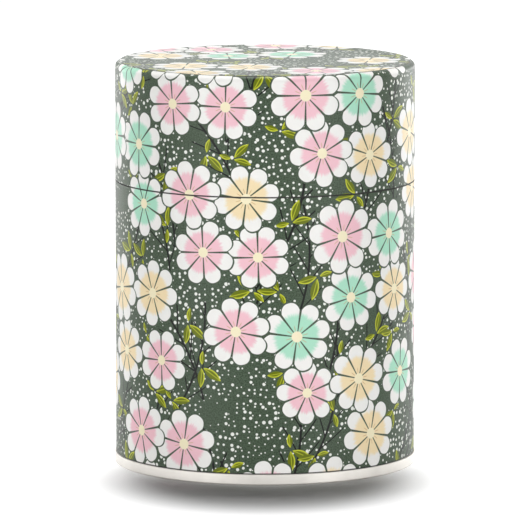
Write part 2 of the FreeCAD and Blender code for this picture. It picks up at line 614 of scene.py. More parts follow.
class Workshop:
    """Turns outlines into finished pieces and seats them in the frame."""

    SEGMENTS = 288
    SHARP = math.radians(35)

    def __init__(self) -> None:
        """Builds the two geometry trees that the pieces share."""
        self.turned_form = turned_form_tree()
        self.wrapped_sheet = wrapped_sheet_tree()

    def outline_object(self, points: Sequence[Point]) -> bpy.types.Object:
        """Makes an object that holds an outline's points.

        Args:
            points: radius and height of each point.

        Returns:
            The object, with its points in the XZ plane.
        """
        mesh = bpy.data.meshes.new("outline")
        mesh.from_pydata([(radius, 0.0, height) for radius, height in points], [], [])
        return add_object("outline", mesh)

    def run_tree(
        self,
        holder: bpy.types.Object,
        tree: bpy.types.NodeTree,
        values: dict[TreeInput, object],
    ) -> None:
        """Adds a geometry tree to an object and sets its inputs.

        Args:
            holder: object that holds the outline.
            tree: the tree to run.
            values: the tree's inputs.
        """
        modifier = holder.modifiers.new(tree.name, "NODES")
        modifier.node_group = tree
        identifiers = {item.name: item.identifier for item in tree.interface.items_tree}
        for option, value in values.items():
            modifier[identifiers[option.value[0]]] = value

    def plain_mesh(self, holder: bpy.types.Object, name: str) -> bpy.types.Mesh:
        """Takes the finished mesh off an object with modifiers and removes the object.

        Args:
            holder: object that holds the outline and the modifiers.
            name: name of the mesh.

        Returns:
            A closed mesh with outward faces and smooth shading between sharp edges.
        """
        graph = bpy.context.evaluated_depsgraph_get()
        mesh = bpy.data.meshes.new_from_object(holder.evaluated_get(graph))
        mesh.name = name
        outline = holder.data
        bpy.data.objects.remove(holder)
        bpy.data.meshes.remove(outline)
        edit = bmesh.new()
        edit.from_mesh(mesh)
        bmesh.ops.recalc_face_normals(edit, faces=edit.faces)
        edit.to_mesh(mesh)
        edit.free()
        mesh.polygons.foreach_set("use_smooth", [True] * len(mesh.polygons))
        mesh.set_sharp_from_angle(angle=self.SHARP)
        return mesh

    def turn(self, name: str, outline: Outline, finish: bpy.types.Material) -> bpy.types.Mesh:
        """Turns an outline about the caddy's axis.

        Args:
            name: name of the mesh.
            outline: the piece's outline.
            finish: its material.

        Returns:
            The mesh.
        """
        points = outline.points()
        holder = self.outline_object(points)
        self.run_tree(holder, self.turned_form, {
            TreeInput.SEGMENTS: self.SEGMENTS,
            TreeInput.ROWS: len(points),
            TreeInput.FINISH: finish,
        })
        return self.plain_mesh(holder, name)

    def seat(self, mesh: bpy.types.Mesh, node: str, body: Body, slot: Slot) -> None:
        """Puts a mesh in the scene in place of a node of the frame.

        Args:
            mesh: the finished mesh.
            node: node that it stands for.
            body: body that it rides on.
            slot: not used.
        """
        piece = add_object(mesh.name, mesh)
        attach(piece, body.value)
        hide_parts(node)
        LOG.info("%s: %d faces on %s", piece.name, len(mesh.polygons), body.value)


@dataclass(frozen=True)
class TinFinish:
    """Bright tinplate: satin metal with a faint drawn grain, a cloudy bloom, and painted shade that darkens
    and dulls its crevices.
    """

    name: str
    colour: Colour
    roughness: float
    grain_height: float
    bloom: float
    # crevice_shade_colour is painted shade: the dark colour laid in the crevices at the neck root and just
    # above the foot band.
    crevice_shade_colour: Colour = ink(22, 21, 19)
    grain_roughness: float = 0.08
    crevice_shade_roughness: float = 0.4
    grain_strength: float = 0.35

    def material(self, grain: bpy.types.NodeTree) -> bpy.types.Material:
        """Builds the finish.

        Args:
            grain: group that gives the metal's grain.

        Returns:
            The material.
        """
        made, graph, shader = new_material(self.name)
        x, y, z = graph.split(graph.node("ShaderNodeTexCoord").outputs["Object"])
        marks = graph.place(grain, X=x / MM, Y=y / MM, Z=z / MM)
        dull = tuple(channel * (1 - self.bloom) for channel in self.colour[:3]) + (1.0,)
        clean = graph.mix(marks["Bloom"], self.colour, dull)
        # Painted shade: the crevice lines darken the tin's colour, take away its metal and roughen it.
        graph.feed(shader.inputs["Base Color"], graph.mix(marks["CreviceShade"], clean, self.crevice_shade_colour))
        graph.feed(shader.inputs["Metallic"], 1.0 - marks["CreviceShade"])
        uneven = marks["Bloom"] * self.bloom + marks["Grain"] * self.grain_roughness
        uneven += marks["CreviceShade"] * self.crevice_shade_roughness
        graph.feed(shader.inputs["Roughness"], uneven + self.roughness)
        raised = graph.bump(marks["Grain"], self.grain_height, self.grain_strength)
        graph.feed(shader.inputs["Normal"], raised)
        return made


def new_material(name: str) -> tuple[bpy.types.Material, Graph, bpy.types.Node]:
    """Starts a material.

    Args:
        name: name of the finish.

    Returns:
        The material, its graph and its Principled shader.
    """
    made = bpy.data.materials.new(name)
    made.use_nodes = True
    graph = Graph(made.node_tree)
    return made, graph, made.node_tree.nodes["Principled BSDF"]


def tin_grain_group() -> bpy.types.NodeTree:
    """Builds the marks of turned and rolled tin, in millimetres about the caddy's axis.

    Returns:
        A group that gives fine rings as Grain, a soft cloud as Bloom, and, as CreviceShade, painted shade:
        dark, dull lines where the neck leaves the body and the wall leaves the foot band.
    """
    foot_line, neck_line, line_half, outside = 3.0, 78.15, 0.55, 40.3
    foot_start, foot_core, neck_core, depth = (-0.1, -0.05), 0.4, 0.7, 0.9
    ring_density, ring_waver, cloud_density, octaves = 9.0, 1.5, 0.12, 3.0
    cloud_edge, outside_edge = (0.35, 0.75), 0.1
    group = ShaderGroup("tin_grain", ("X", "Y", "Z"))
    x, y, z = group.value("X"), group.value("Y"), group.value("Z")
    radius = (x * x + y * y).root()
    around = group.angle(y, x)
    wound = group.join(radius * ring_density, z * ring_density, around * ring_waver)
    rings = group.noise(wound, 1.0, octaves)
    cloud = group.noise(group.join(x, y, z), cloud_density, octaves)
    # Painted shade: dark lines at the neck's root and just above the foot band, on outward faces only.
    lines = abs(z - neck_line).fall(line_half * neck_core, line_half)
    lines = lines.most((z - foot_line).rise(*foot_start) * (z - foot_line).fall(foot_core, line_half))
    group.give("Grain", rings)
    group.give("Bloom", cloud.rise(*cloud_edge))
    group.give("CreviceShade", lines * radius.rise(outside - outside_edge, outside) * depth)
    return group.tree


class Tint(Enum):
    """Heart colours of the printed blossoms, with the share of draws up to which each is used."""

    PINK = (0.37, ink(246, 199, 210))
    MINT = (0.68, ink(176, 229, 204))
    CREAM = (1.0, ink(248, 228, 186))


@dataclass(frozen=True)
class Layer:
    """One motif in every cell of the print: its place in the cell, size, and share of cells that hold it."""

    x: float
    y: float
    size: float
    share: float
    seed: int


@dataclass(frozen=True)
class Leaf:
    """One leaf of a printed sprig, in millimetres and radians from the sprig's foot."""

    angle: float
    start: float
    length: float
    width: float


@dataclass(frozen=True)
class FloralPrint:
    """An all-over print of eight-petalled blossoms, leaves, twigs and dots, in millimetres."""

    cell_width: float = 41.0
    cell_height: float = 35.0
    lean: float = math.radians(17)
    drift: float = 2.2
    wander: float = 1.1
    soft: float = 0.07
    sharp: float = 0.001
    size_spread: float = 0.9
    mottle_density: float = 2.4
    mottle_octaves: float = 3.0
    mottle_edge: Point = (0.36, 0.64)
    ground: Colour = ink(80, 96, 78)
    ground_dark: Colour = ink(58, 72, 55)
    dot_white: Colour = ink(238, 240, 234)
    twig_black: Colour = ink(7, 10, 7)
    petal_white: Colour = ink(247, 246, 243)
    eye_cream: Colour = ink(250, 240, 206)
    stamen: Colour = ink(203, 168, 110)
    leaf_dark: Colour = ink(104, 116, 12)
    leaf_light: Colour = ink(202, 208, 56)
    blossoms: tuple[Layer, ...] = (
        Layer(24.0, -10.0, 8.8, 0.8, 4),
        Layer(8.0, -14.0, 9.0, 0.9, 3),
        Layer(16.0, 4.5, 9.2, 0.92, 2),
        Layer(0.0, 0.0, 9.5, 1.0, 1),
    )
    sprigs: tuple[Layer, ...] = (
        Layer(1.5, 12.5, 1.0, 0.85, 21),
        Layer(9.5, 13.5, 0.9, 0.8, 22),
        Layer(30.0, 2.0, 1.0, 0.9, 23),
        Layer(-5.0, -11.0, 1.0, 0.9, 24),
        Layer(17.0, -6.0, 0.8, 0.8, 25),
    )
    twigs: tuple[Layer, ...] = (
        Layer(4.0, 14.0, 1.0, 1.0, 41),
        Layer(29.0, -2.0, 1.05, 1.0, 42),
        Layer(-7.0, -10.0, 0.95, 0.9, 43),
    )
    leaves: tuple[Leaf, ...] = (
        Leaf(-0.55, 0.4, 5.4, 1.05),
        Leaf(0.5, 0.6, 6.0, 1.15),
        Leaf(2.6, 0.5, 3.8, 0.8),
    )

    def cell_group(self) -> bpy.types.NodeTree:
        """Builds the group that finds a motif's own place and draws in its cell.

        Returns:
            A group that gives a point's place from the motif's centre, and its random Turn, Tint and Chance.
        """
        drift_seed, second_draw = 0.5, 100.0
        group = ShaderGroup("print_cell", ("X", "Y", "Seed"))
        x, y, seed = group.value("X"), group.value("Y"), group.value("Seed")
        row = round(y / self.cell_height)
        shift = row.remainder(2.0) * (self.cell_width / 2)
        column = round((x - shift) / self.cell_width)
        drift_x, drift_y, _ = group.chance(column, row, drift_seed)
        wander_x, wander_y, turn = group.chance(column, row, seed)
        tint, chance, _ = group.chance(column, row, seed + second_draw)
        own_x = (drift_x - 0.5) * (2 * self.drift) + (wander_x - 0.5) * (2 * self.wander)
        own_y = (drift_y - 0.5) * (2 * self.drift) + (wander_y - 0.5) * (2 * self.wander)
        group.give("X", x - shift - column * self.cell_width - own_x)
        group.give("Y", y - row * self.cell_height - own_y)
        group.give("Turn", turn)
        group.give("Tint", tint)
        group.give("Chance", chance)
        return group.tree

    def blossom_group(self) -> bpy.types.NodeTree:
        """Builds one blossom: round-tipped petals with a tinted heart, a broad pale eye and fine stamens.

        Returns:
            A group that gives the blossom's Colour, its Petals and the Halo of ground round it.
        """
        petals, stamens_each, stamen_strength = 8, 2, 0.7
        shoulder_power, shoulder_depth = 2.6, 0.3
        gap_foot, gap_spread = 0.1, 0.03
        streaks, streak_length, streak_reach = 95.0, 2.5, 0.2
        eye_edge, halo_edge, heart_edge = (0.15, 0.17), (-0.55, -0.4), (0.56, 0.72)
        stamen_half, stamen_foot, stamen_end = (0.05, 0.16), (0.16, 0.2), (0.28, 0.36)
        group = ShaderGroup("print_blossom", ("X", "Y", "Radius", "Turn", "Tint"))
        x, y, radius = group.value("X"), group.value("Y"), group.value("Radius")
        distance = (x * x + y * y).root()
        share = distance / radius
        around = group.angle(y, x) / TURN + group.value("Turn") + 1.0
        across = abs((around * petals).fraction() - 0.5)
        shoulder = (across * 2.0) ** shoulder_power * shoulder_depth
        tip = (1.0 - shoulder) * radius
        inside = (tip - distance).rise(-self.soft, self.soft)
        side = distance * ((0.5 - across) * (TURN / petals)).sine()
        gap = distance * gap_spread + gap_foot
        eye = share.fall(*eye_edge)
        group.give("Petals", inside * (side - gap).rise(-self.soft, self.soft).most(eye))
        group.give("Halo", (tip - distance).rise(*halo_edge))

        streak = group.noise(group.join(around * streaks, share * streak_length, radius), 1.0)
        heart = (share + (streak - 0.5) * streak_reach).fall(*heart_edge)
        tint = group.value("Tint")
        heart_colour = Tint.PINK.value[1]
        for lower, upper in ((Tint.PINK, Tint.MINT), (Tint.MINT, Tint.CREAM)):
            above = tint.rise(lower.value[0], lower.value[0] + self.sharp)
            heart_colour = group.mix(above, heart_colour, upper.value[1])
        colour = group.mix(heart, self.petal_white, heart_colour)
        spokes = petals * stamens_each
        spoke = abs((around * spokes + 0.5).fraction() - 0.5) * (TURN / spokes) * distance
        stamens = spoke.fall(*stamen_half) * share.rise(*stamen_foot) * share.fall(*stamen_end)
        colour = group.mix(stamens * stamen_strength, colour, self.stamen)
        group.give("Colour", group.mix(eye, colour, self.eye_cream), "NodeSocketColor")
        return group.tree

    def sprig_group(self) -> bpy.types.NodeTree:
        """Builds one sprig of leaves that grow from a point.

        Returns:
            A group that gives the sprig's Colour and its Mask.
        """
        stroke_edge, stroke_side = (0.22, 0.5), (-0.45, 0.1)
        rib_half, rib_strength = (0.06, 0.2), 0.6
        group = ShaderGroup("print_sprig", ("X", "Y", "Size", "Turn"))
        size = group.value("Size")
        x, y = group.value("X") / size, group.value("Y") / size
        turn = group.value("Turn") * TURN
        mask: Number = 0.0
        colour: object = self.leaf_dark
        for leaf in self.leaves:
            heading = turn + leaf.angle
            along = x * heading.cosine() + y * heading.sine()
            across = y * heading.cosine() - x * heading.sine()
            portion = (along - leaf.start) / leaf.length
            half = portion * (1.0 - portion) * (4 * leaf.width)
            edge = half - abs(across)
            inside = edge.rise(-self.soft, self.soft)
            stroke = edge.fall(*stroke_edge) * across.rise(*stroke_side)
            rib = abs(across).fall(*rib_half) * rib_strength
            own = group.mix(stroke.most(rib), self.leaf_dark, self.leaf_light)
            colour = group.mix(inside, colour, own)
            mask = inside.most(mask)
        group.give("Mask", mask)
        group.give("Colour", colour, "NodeSocketColor")
        return group.tree

    def twig_group(self) -> bpy.types.NodeTree:
        """Builds one dark twig with slanting side shoots.

        Returns:
            A group that gives the twig's Mask.
        """
        length, pitch, thickness, bend, slant = 34.0, 7.4, 0.3, 0.01, 1.45
        upright, spread, end, centre_line = math.radians(100), 1.5, 0.01, 0.01
        stem_core, stem_rim, shoot_half = 0.6, 1.5, (0.03, 0.058)
        shoot_least, shoot_bulge, shoot_tip = 0.1, 26.0, (0.02, 0.12)
        group = ShaderGroup("print_twig", ("X", "Y", "Size", "Turn"))
        size = group.value("Size")
        x, y = group.value("X") / size, group.value("Y") / size
        heading = (group.value("Turn") - 0.5) * spread + upright
        along = x * heading.cosine() + y * heading.sine() + length / 2
        straight = y * heading.cosine() - x * heading.sine()
        across = straight - (along - length / 2) ** 2.0 * bend
        portion = along / length
        within = portion.rise(0.0, end) * portion.fall(1.0 - end, 1.0)
        stem = abs(across).fall(thickness * stem_core, thickness * stem_rim)
        side = across.rise(-centre_line, centre_line) * 0.5
        step = ((along - abs(across) * slant) / pitch + side).fraction() - 0.5
        shoot = abs(step).fall(*shoot_half)
        away = abs(across)
        shoot_length = shoot_least + portion * (1.0 - portion) * shoot_bulge
        reach = away.fall(0.0, shoot_length).rise(*shoot_tip)
        group.give("Mask", stem.most(shoot * reach) * within)
        return group.tree

    def group(self) -> bpy.types.NodeTree:
        """Builds the whole print on a flat sheet.

        Returns:
            A group that gives the print's Colour and the raised Ink.
        """
        cell, blossom = self.cell_group(), self.blossom_group()
        sprig, twig = self.sprig_group(), self.twig_group()
        group = ShaderGroup("floral_print", ("X", "Y"))
        flat_x, flat_y = group.value("X"), group.value("Y")
        x = flat_x * math.cos(self.lean) - flat_y * math.sin(self.lean)
        y = flat_x * math.sin(self.lean) + flat_y * math.cos(self.lean)
        flat = group.join(flat_x, flat_y)

        cloud = group.noise(flat, self.mottle_density, self.mottle_octaves)
        mottle = cloud.rise(*self.mottle_edge)
        ground = group.mix(mottle, self.ground, self.ground_dark)
        colour = group.mix(self.dots(group, flat), ground, self.dot_white)
        raised: Number = 0.0
        for layer in self.twigs:
            spot, shown = self.spot(group, cell, layer, x, y)
            lines = group.place(twig, X=spot["X"], Y=spot["Y"], Size=layer.size, Turn=spot["Turn"])
            colour = group.mix(lines["Mask"] * shown, colour, self.twig_black)
        for layer in self.sprigs:
            spot, shown = self.spot(group, cell, layer, x, y)
            leaf = group.place(sprig, X=spot["X"], Y=spot["Y"], Size=layer.size, Turn=spot["Turn"])
            colour = group.mix(leaf["Mask"] * shown, colour, leaf["Colour"])
            raised = (leaf["Mask"] * shown).most(raised)
        for layer in self.blossoms:
            spot, shown = self.spot(group, cell, layer, x, y)
            radius = spot["Chance"] * self.size_spread + (layer.size - self.size_spread / 2)
            flower = group.place(
                blossom, X=spot["X"], Y=spot["Y"], Radius=radius, Turn=spot["Turn"], Tint=spot["Tint"]
            )
            colour = group.mix(flower["Halo"] * shown, colour, ground)
            colour = group.mix(flower["Petals"] * shown, colour, flower["Colour"])
            raised = (flower["Petals"] * shown).most(raised)
        group.give("Colour", colour, "NodeSocketColor")
        group.give("Ink", raised)
        return group.tree

    def spot(
        self,
        group: ShaderGroup,
        cell: bpy.types.NodeTree,
        layer: Layer,
        x: Wire,
        y: Wire,
    ) -> tuple[dict[str, Wire], Wire]:
        """Places the cell group for one layer.

        Args:
            group: group under construction.
            cell: the cell group.
            layer: the layer.
            x: place across the sheet.
            y: place up the sheet.

        Returns:
            The cell's outputs, and 1 where this layer's motif is printed.
        """
        found = group.place(cell, X=x - layer.x, Y=y - layer.y, Seed=float(layer.seed))
        shown = found["Chance"].fall(layer.share, layer.share + self.sharp)
        return found, shown

    def dots(self, group: ShaderGroup, flat: Wire) -> Wire:
        """Scatters pale dots of uneven size in drifts over the ground.

        Args:
            group: group under construction.
            flat: place on the sheet.

        Returns:
            1 on a dot.
        """
        spacing, unevenness, edge = 1.7, 0.85, 0.03
        drift_density, drift_edge, bare_below = 0.075, (0.36, 0.62), 0.4
        least, more_by_draw, more_by_drift = 0.07, 0.17, 0.09
        cells = group.node("ShaderNodeTexVoronoi", voronoi_dimensions="2D")
        group.fill(cells, {"Scale": 1 / spacing, "Randomness": unevenness, "Vector": flat})
        draw, _, _ = group.split(cells.outputs["Color"])
        distance = Wire(group, cells.outputs["Distance"])
        drifts = group.noise(Wire(group, cells.outputs["Position"]), drift_density)
        size = draw * draw * more_by_draw + drifts.rise(*drift_edge) * more_by_drift + least
        return (size - distance).rise(-edge, edge) * drifts.rise(bare_below, bare_below + self.sharp)


@dataclass(frozen=True)
class PaperFinish:
    """Satin printed paper with painted shade along its seam and foot lines, and the bare paper of its cut
    edges and back.
    """

    print_design: FloralPrint = field(default_factory=FloralPrint)
    bare: Colour = ink(84, 84, 74)
    bare_dark: Colour = ink(62, 62, 54)
    # Painted shade: a dark colour laid on the print along the foot line and the lid's seam, where the gaps
    # are.
    edge_shade: Colour = ink(24, 25, 22)
    shaded_edges: tuple[Point, ...] = ((3.05, 0.28), (78.125, 0.25))
    edge_shade_core: float = 0.6
    edge_shade_strength: float = 0.9
    roughness: float = 0.46
    bare_roughness: float = 0.8
    fibre_roughness: float = 0.12
    ink_gloss: float = 0.04
    specular: float = 0.18
    sheen: float = 0.4
    sheen_roughness: float = 0.32
    fibre_height: float = 0.02 * MM
    fibre_strength: float = 0.6

    def printed(self, fibres: bpy.types.NodeTree) -> bpy.types.Material:
        """Builds the printed face.

        Args:
            fibres: group that gives the paper's fibres.

        Returns:
            The material.
        """
        made, graph, shader = new_material("floral_paper")
        shader.inputs["Specular IOR Level"].default_value = self.specular
        shader.inputs["Sheen Weight"].default_value = self.sheen
        shader.inputs["Sheen Roughness"].default_value = self.sheen_roughness
        sheet = graph.node("ShaderNodeUVMap", uv_map=SHEET_MAP).outputs[0]
        x, y, _ = graph.split(sheet)
        design = graph.place(self.print_design.group(), X=x, Y=y)
        paper = graph.place(fibres, X=x, Y=y)
        # Painted shade: the print darkens in narrow bands at the foot line and at the lid's seam.
        edge_shade: Number = 0.0
        for edge, reach in self.shaded_edges:
            edge_shade = abs(y - edge).fall(reach * self.edge_shade_core, reach).most(edge_shade)
        colour = graph.mix(edge_shade * self.edge_shade_strength, design["Colour"], self.edge_shade)
        graph.feed(shader.inputs["Base Color"], colour)
        uneven = paper["Fibres"] * self.fibre_roughness - design["Ink"] * self.ink_gloss
        graph.feed(shader.inputs["Roughness"], uneven + self.roughness)
        raised = graph.bump(paper["Fibres"], self.fibre_height, self.fibre_strength)
        graph.feed(shader.inputs["Normal"], raised)
        return made

    def plain(self, fibres: bpy.types.NodeTree) -> bpy.types.Material:
        """Builds the bare paper.

        Args:
            fibres: group that gives the paper's fibres.

        Returns:
            The material.
        """
        made, graph, shader = new_material("bare_paper")
        shader.inputs["Roughness"].default_value = self.bare_roughness
        x, y, z = graph.split(graph.node("ShaderNodeTexCoord").outputs["Object"])
        paper = graph.place(fibres, X=(x + y) / MM, Y=z / MM)
        graph.feed(shader.inputs["Base Color"], graph.mix(paper["Fibres"], self.bare, self.bare_dark))
        return made


def paper_fibre_group() -> bpy.types.NodeTree:
    """Builds the long tangled fibres of handmade paper, in millimetres.

    Returns:
        A group that gives Fibres from 0 to 1.
    """
    bend_density, bend_reach, octaves = 0.25, 4.0, 3.0
    along_density, across_density, fibre_edge = 0.6, 4.5, (0.42, 0.8)
    group = ShaderGroup("paper_fibres", ("X", "Y"))
    x, y = group.value("X"), group.value("Y")
    bent = group.noise(group.join(x, y), bend_density) * bend_reach
    along = group.noise(group.join(x * along_density + bent, y * across_density), 1.0, octaves)
    across = group.noise(group.join(x * across_density, y * along_density + bent), 1.0, octaves)
    group.give("Fibres", along.most(across).rise(*fibre_edge))
    return group.tree


@dataclass
class Finishes:
    """Every material of the caddy, built once."""

    tin: bpy.types.Material
    knob: bpy.types.Material
    printed: bpy.types.Material
    bare: bpy.types.Material

    @classmethod
    def build(cls) -> "Finishes":
        """Builds the materials and the groups that they share."""
        grain = tin_grain_group()
        fibres = paper_fibre_group()
        tin = TinFinish("bright_tin", ink(213, 210, 205), 0.62, 0.004 * MM, 0.06)
        knob = TinFinish("turned_knob", ink(218, 214, 206), 0.24, 0.006 * MM, 0.08)
        paper = PaperFinish()
        return cls(tin.material(grain), knob.material(grain), paper.printed(fibres), paper.plain(fibres))


@dataclass(frozen=True)
class Stock:
    """Sheet metal and paper that the pieces share, with the radii that follow, read from the frame."""

    tin: float
    paper: float
    paper_radius: float
    tin_radius: float
    sheet_edge: float = 0.06 * MM
    lid_clearance: float = 0.15 * MM
    paper_overlap: float = 8.0 * MM
    paper_ramp: float = 1.2 * MM

    @classmethod
    def from_frame(cls) -> "Stock":
        """Reads the stock's sizes from the body's wall and paper."""
        shell_low, shell_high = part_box("body_shell")
        _, paper_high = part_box("body_paper")
        return cls(
            tin=shell_low.z,
            paper=paper_high.x - shell_high.x,
            paper_radius=paper_high.x,
            tin_radius=shell_high.x,
        )

    @property
    def bore_radius(self) -> float:
        """Inner radius of the rolled walls."""
        return self.tin_radius - self.tin

    @property
    def chuck_radius(self) -> float:
        """Inner radius of what is set inside the rolled walls."""
        return self.bore_radius - self.tin

    @property
    def neck_radius(self) -> float:
        """Outer radius of the neck that the lid slides over."""
        return self.bore_radius - self.lid_clearance

    def wall(self, low: float, high: float) -> Outline:
        """Outline of a rolled wall with eased edges.

        Args:
            low: height of its lower edge.
            high: height of its upper edge.

        Returns:
            The outline.
        """
        edge = self.sheet_edge
        return Outline((
            (self.bore_radius, low, edge),
            (self.tin_radius, low, edge),
            (self.tin_radius, high, edge),
            (self.bore_radius, high, edge),
        ))


@dataclass
class PaperWrap:
    """Printed paper wrapped once round a wall, with a glued overlap at the back."""

    stock: Stock
    shop: Workshop
    finishes: Finishes
    columns: int = 420
    bare_share: float = 0.05
    least_area: float = 1e-6
    settled: float = 0.12

    def wrap(self, name: str, outline: Outline, first_run: float) -> bpy.types.Mesh:
        """Wraps the outer face of a sheet and gives it its thickness.

        Args:
            name: name of the mesh.
            outline: outer face of the sheet, from its lower edge up.
            first_run: place on the printed sheet where the lower edge lies.

        Returns:
            The mesh.
        """
        stock = self.stock
        points = outline.points()
        holder = self.shop.outline_object(points)
        places = np.array(points)
        steps = np.hypot(*np.diff(places, axis=0).T)
        runs = first_run + np.concatenate(([0.0], np.cumsum(steps)))
        along = np.gradient(places, axis=0)
        along /= np.hypot(*along.T)[:, None]
        amount = self.settled + (1 - self.settled) * np.clip(along[:, 1], 0, 1)
        loose = np.stack([along[:, 1], np.zeros(len(points)), -along[:, 0]], axis=1) * amount[:, None]
        for label, kind, entry, numbers in (
            (RUN, "FLOAT", "value", runs),
            (LOOSE, "FLOAT_VECTOR", "vector", loose),
        ):
            layer = holder.data.attributes.new(label, kind, "POINT")
            layer.data.foreach_set(entry, numbers.astype(np.float32).ravel())
        self.shop.run_tree(holder, self.shop.wrapped_sheet, {
            TreeInput.SEGMENTS: self.columns,
            TreeInput.ROWS: len(points),
            TreeInput.RADIUS: stock.paper_radius,
            TreeInput.LAP: stock.paper_overlap / stock.paper_radius,
            TreeInput.RAMP: stock.paper_ramp / stock.paper_radius,
            TreeInput.LIFT: stock.paper,
            TreeInput.FINISH: self.finishes.printed,
        })
        solid = holder.modifiers.new("thickness", "SOLIDIFY")
        solid.thickness = stock.paper
        solid.offset = -1.0
        mesh = self.shop.plain_mesh(holder, name)
        self.dress(mesh)
        return mesh

    def dress(self, mesh: bpy.types.Mesh) -> None:
        """Gives a paper its two materials and lays out the map that its finish is baked on.

        The sheet map is the right way round on the printed face only: on the back it is mirrored, and on the
        cut edges it has no area.

        Args:
            mesh: paper with its sheet map set.
        """
        corners = read_numbers(mesh.uv_layers[SHEET_MAP].uv, "vector", np.float32, 2).astype(float)
        starts = read_numbers(mesh.polygons, "loop_start", np.int32)
        counts = read_numbers(mesh.polygons, "loop_total", np.int32)
        following = np.arange(1, len(corners) + 1)
        following[starts + counts - 1] = starts
        ahead = corners[following]
        doubled = np.add.reduceat(corners[:, 0] * ahead[:, 1] - ahead[:, 0] * corners[:, 1], starts)
        indices = np.where(doubled > self.least_area, Face.PRINTED.value, Face.BARE.value)
        mesh.materials.clear()
        mesh.materials.append(self.finishes.printed)
        mesh.materials.append(self.finishes.bare)
        mesh.polygons.foreach_set("material_index", indices.astype(np.int32))

        low, high = corners.min(axis=0), corners.max(axis=0)
        across, up = ((corners - low) / (high - low)).T
        bare = np.repeat(indices == Face.BARE.value, counts)
        strip = self.bare_share
        up = np.where(bare, up * strip, strip + up * (1 - strip))
        add_map(mesh, BAKE_MAP, np.stack([across, up], axis=1))


@dataclass
class Assembly:
    """A sub-assembly of the caddy, with what its pieces are made from and by."""

    stock: Stock
    shop: Workshop
    finishes: Finishes

    @property
    def papers(self) -> PaperWrap:
        """Maker of the printed papers."""
        return PaperWrap(self.stock, self.shop, self.finishes)

    def seat_tin(self, outlines: dict[str, Outline], body: Body) -> None:
        """Turns tin pieces and seats them.

        Args:
            outlines: outline of each piece by the node that it stands for.
            body: body that they ride on.
        """
        for node, outline in outlines.items():
            mesh = self.shop.turn(f"{node}_tin", outline, self.finishes.tin)
            self.shop.seat(mesh, node, body, Slot.TINPLATE)

    def seat_wrap(self, node: str, face: Outline, body: Body) -> None:
        """Wraps a printed paper and seats it.

        Args:
            node: node that it stands for.
            face: outer face of the paper, from its lower edge up.
            body: body that it rides on.
        """
        low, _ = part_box(node)
        mesh = self.papers.wrap(f"{node}_wrap", face, low.z)
        self.shop.seat(mesh, node, body, Slot.PRINTED_PAPER)


@dataclass
class Canister(Assembly):
    """The can: pressed bottom with its foot band, rolled wall, neck sleeve and printed paper."""

    foot_height: float = 2.9 * MM
    foot_corner: float = 0.5 * MM
    foot_inner_corner: float = 0.15 * MM
    foot_lip: float = 0.12 * MM
    panel_rise: float = 2.4 * MM
    panel_bend: float = 0.8 * MM
    panel_step: float = 0.7 * MM
    panel_step_radius: float = 31.0 * MM
    panel_step_run: float = 1.4 * MM
    panel_step_bend: float = 0.9 * MM
    neck_swage: float = 0.8 * MM
    neck_curl: float = 0.7 * MM

    def build(self) -> None:
        """Builds and seats the can's pieces."""
        shell_low, shell_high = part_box("body_shell")
        self.seat_tin({
            "base_end": self.base_end(),
            "body_shell": self.stock.wall(shell_low.z, shell_high.z),
            "neck_sleeve": self.neck_sleeve(shell_high.z),
        }, Body.CANISTER)
        paper_low, paper_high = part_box("body_paper")
        radius = self.stock.paper_radius
        face = Outline(((radius, paper_low.z), (radius, paper_high.z)), closed=False)
        self.seat_wrap("body_paper", face, Body.CANISTER)

    def base_end(self) -> Outline:
        """Outline of the pressed bottom and the rim folded round the wall's lower edge."""
        stock, tin = self.stock, self.stock.tin
        band_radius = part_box("base_end")[1].x
        step_outer = self.panel_step_radius + self.panel_step_run
        panel_top = self.panel_rise + tin
        return Outline((
            (0.0, self.panel_rise + self.panel_step),
            (self.panel_step_radius, self.panel_rise + self.panel_step, self.panel_step_bend),
            (step_outer, self.panel_rise, self.panel_step_bend + tin),
            (stock.chuck_radius, self.panel_rise, self.panel_bend),
            (stock.chuck_radius, 0.0, self.foot_inner_corner),
            (band_radius, 0.0, self.foot_corner),
            (band_radius, self.foot_height, self.foot_lip),
            (stock.tin_radius, self.foot_height, stock.sheet_edge),
            (stock.tin_radius, tin),
            (stock.bore_radius, tin),
            (stock.bore_radius, panel_top, self.panel_bend + tin),
            (step_outer, panel_top, self.panel_step_bend),
            (self.panel_step_radius, panel_top + self.panel_step, self.panel_step_bend + tin),
            (0.0, panel_top + self.panel_step),
        ), closed=False)

    def neck_sleeve(self, body_top: float) -> Outline:
        """Outline of the neck, narrowed above the body and curled inwards at its rim.

        Args:
            body_top: height of the body's upper edge.

        Returns:
            The outline.
        """
        stock, curl = self.stock, self.neck_curl
        low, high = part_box("neck_sleeve")
        swage_low = body_top - self.neck_swage
        neck, bore = stock.neck_radius, stock.neck_radius - stock.tin
        return Outline((
            (stock.chuck_radius, low.z, stock.sheet_edge),
            (stock.bore_radius, low.z, stock.sheet_edge),
            (stock.bore_radius, swage_low),
            (neck, body_top),
            (neck, high.z, curl),
            (neck - 2 * curl, high.z, curl),
            (neck - 2 * curl, high.z - 2 * curl, curl),
            (bore, high.z - 2 * curl),
            (bore, body_top),
            (stock.chuck_radius, swage_low),
        ))


